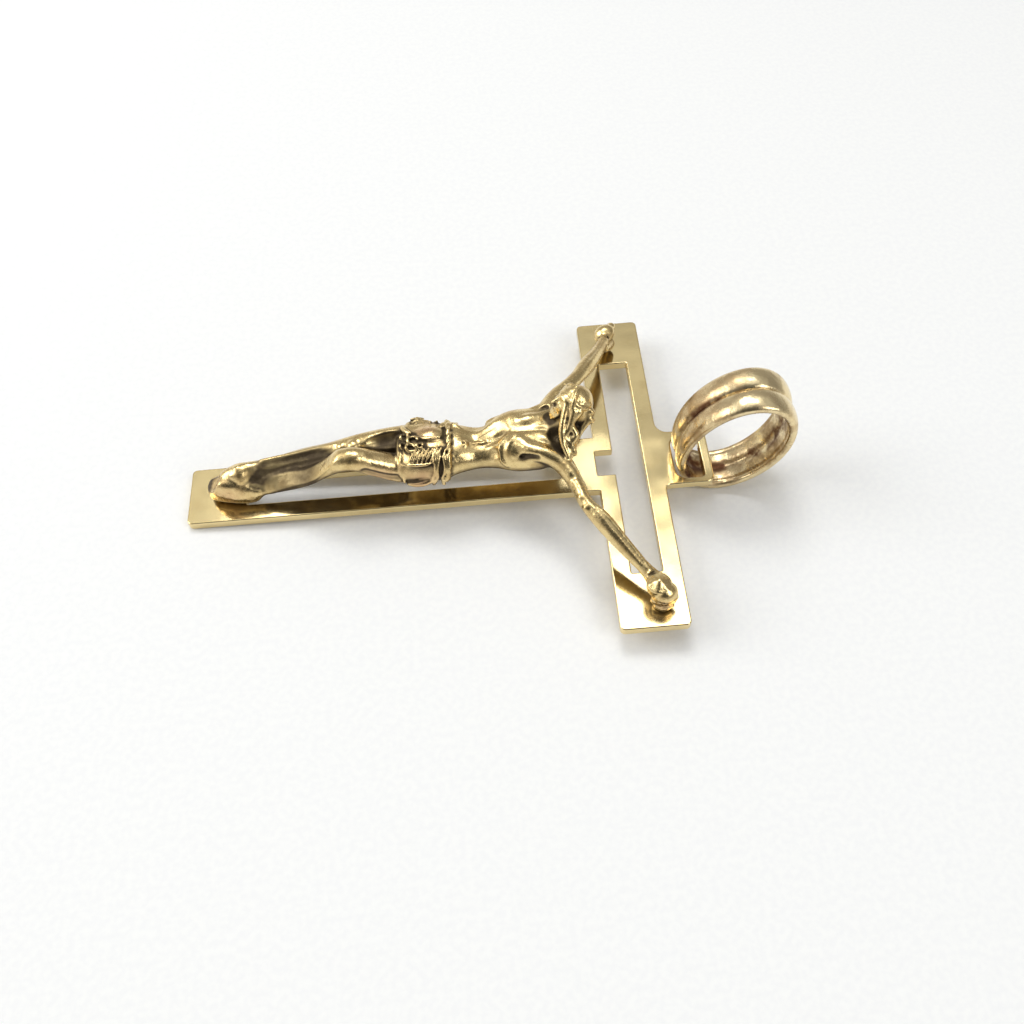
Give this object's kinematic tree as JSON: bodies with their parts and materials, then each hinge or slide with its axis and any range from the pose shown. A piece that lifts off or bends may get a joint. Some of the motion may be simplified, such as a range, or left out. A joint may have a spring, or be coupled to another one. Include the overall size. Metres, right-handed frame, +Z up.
{
  "type": "crucifix pendant",
  "caption": "Flat pierced cross with a cast figure fixed on its face and a loose double-ridged oval bail through an eye at its head.",
  "frame": {"origin": "on the ground below the middle of the pendant's bounding box, as it lies on its back", "axes": "+X from the foot of the cross to the bail, +Y across the cross to the side that the figure's head leans to, +Z up, out of the figure's face"},
  "size_m": [0.0528, 0.033, 0.0122],
  "materials": {
    "polished_gold": "mirror polished yellow gold",
    "cast_gold": "satin cast yellow gold, dark in the recesses",
    "bail_gold": "polished yellow gold, tarnished in the groove"
  },
  "bodies": {
    "cross": {"cross": "polished_gold", "corpus": "cast_gold"},
    "bail": {"bail": "bail_gold"}
  },
  "joints": [
    {"name": "bail_swing", "type": "hinge", "parent": "cross", "child": "bail", "pos_m": [0.01952, 0, 0.0026], "axis": [0, 1, 0], "range_deg": [-8, 96]}
  ]
}
